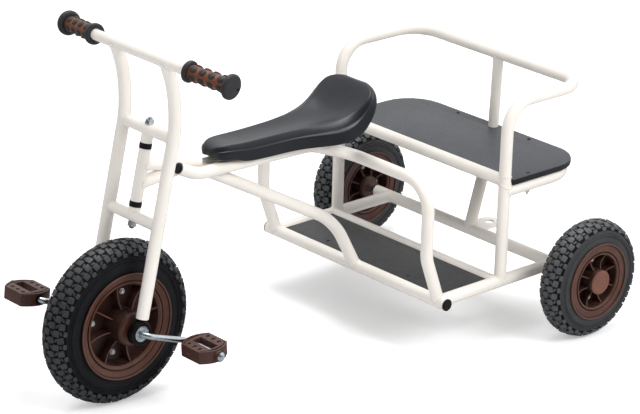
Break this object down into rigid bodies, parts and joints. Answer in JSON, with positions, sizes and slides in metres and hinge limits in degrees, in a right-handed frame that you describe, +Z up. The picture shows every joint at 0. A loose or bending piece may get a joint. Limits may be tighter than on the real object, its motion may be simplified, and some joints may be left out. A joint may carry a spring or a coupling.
{
  "type": "children's taxi tricycle",
  "caption": "Children's pedal tricycle of bent steel tube, with a driver's saddle over a steered front wheel and a bench with a backrest loop between the rear wheels.",
  "frame": {"origin": "middle of the whole object's box, on the floor", "axes": "+Z up, -Y towards the front wheel, +X to the rider's left"},
  "size_m": [0.7632, 1.237, 0.712],
  "materials": {
    "cream_paint": "smooth satin powder coat",
    "brown_plastic": "satin moulded plastic",
    "pedal_plastic": "moulded plastic",
    "orange_rubber": "soft matt rubber",
    "black_plastic": "satin moulded plastic",
    "saddle_plastic": "satin moulded plastic with fine grain",
    "grey_board": "anti-slip faced board",
    "tyre_rubber": "matt rubber with block tread",
    "bright_steel": "bright zinc plate"
  },
  "bodies": {
    "frame": {"head_tube": "cream_paint", "neck_tube": "cream_paint", "neck_brace": "cream_paint", "down_tube": "cream_paint", "seat_tube_left": "cream_paint", "seat_tube_right": "cream_paint", "hoop_side_left": "cream_paint", "hoop_side_right": "cream_paint", "foot_tube_front": "cream_paint", "foot_tube_rear": "cream_paint", "side_rail_left": "cream_paint", "side_rail_right": "cream_paint", "rear_axle_tube": "cream_paint", "rear_axle": "bright_steel", "axle_spacer_left": "bright_steel", "axle_spacer_right": "bright_steel", "backrest_loop": "cream_paint", "back_post": "cream_paint", "bench_tube_front": "cream_paint", "bench_support_loop": "cream_paint", "centre_strut": "cream_paint", "tow_plate": "cream_paint", "foot_cap_left": "black_plastic", "foot_cap_right": "black_plastic", "stop_plug_left": "black_plastic", "stop_plug_right": "black_plastic", "footplate": "grey_board", "bench_board": "grey_board", "saddle": "saddle_plastic"},
    "steering": {"fork_tube_left": "cream_paint", "fork_tube_right": "cream_paint", "fork_crossbar_lower": "cream_paint", "fork_crossbar_upper": "cream_paint", "steering_bush_lower": "black_plastic", "steering_bush_upper": "black_plastic", "steering_bolt": "bright_steel", "handlebar": "cream_paint", "grip_left": "orange_rubber", "grip_right": "orange_rubber", "bearing_block_left": "black_plastic", "bearing_block_right": "black_plastic", "bearing_face_left": "bright_steel", "bearing_face_right": "bright_steel"},
    "front_wheel": {"front_tyre": "tyre_rubber", "front_rim": "brown_plastic", "crank_axle": "bright_steel"},
    "pedal_left": {"pedal_left": "pedal_plastic"},
    "pedal_right": {"pedal_right": "pedal_plastic"},
    "rear_wheel_left": {"rear_tyre_left": "tyre_rubber", "rear_rim_left": "brown_plastic", "hub_cap_left": "brown_plastic"},
    "rear_wheel_right": {"rear_tyre_right": "tyre_rubber", "rear_rim_right": "brown_plastic", "hub_cap_right": "brown_plastic"}
  },
  "joints": [
    {"name": "steering", "type": "hinge", "parent": "frame", "child": "steering", "pos_m": [0, -0.45395, 0.165], "axis": [0, 0.2079, 0.9781], "range_deg": [-50, 50]},
    {"name": "front_wheel_spin", "type": "hinge", "parent": "steering", "child": "front_wheel", "pos_m": [0, -0.45395, 0.165], "axis": [1, 0, 0], "continuous": true},
    {"name": "pedal_left_spin", "type": "hinge", "parent": "front_wheel", "child": "pedal_left", "pos_m": [0.14, -0.35214, 0.12895], "axis": [1, 0, 0], "continuous": true},
    {"name": "pedal_right_spin", "type": "hinge", "parent": "front_wheel", "child": "pedal_right", "pos_m": [-0.14, -0.55575, 0.20105], "axis": [1, 0, 0], "continuous": true},
    {"name": "rear_wheel_left_spin", "type": "hinge", "parent": "frame", "child": "rear_wheel_left", "pos_m": [0.3443, 0.49465, 0.1243], "axis": [1, 0, 0], "continuous": true},
    {"name": "rear_wheel_right_spin", "type": "hinge", "parent": "frame", "child": "rear_wheel_right", "pos_m": [-0.3443, 0.49465, 0.1243], "axis": [1, 0, 0], "continuous": true}
  ]
}
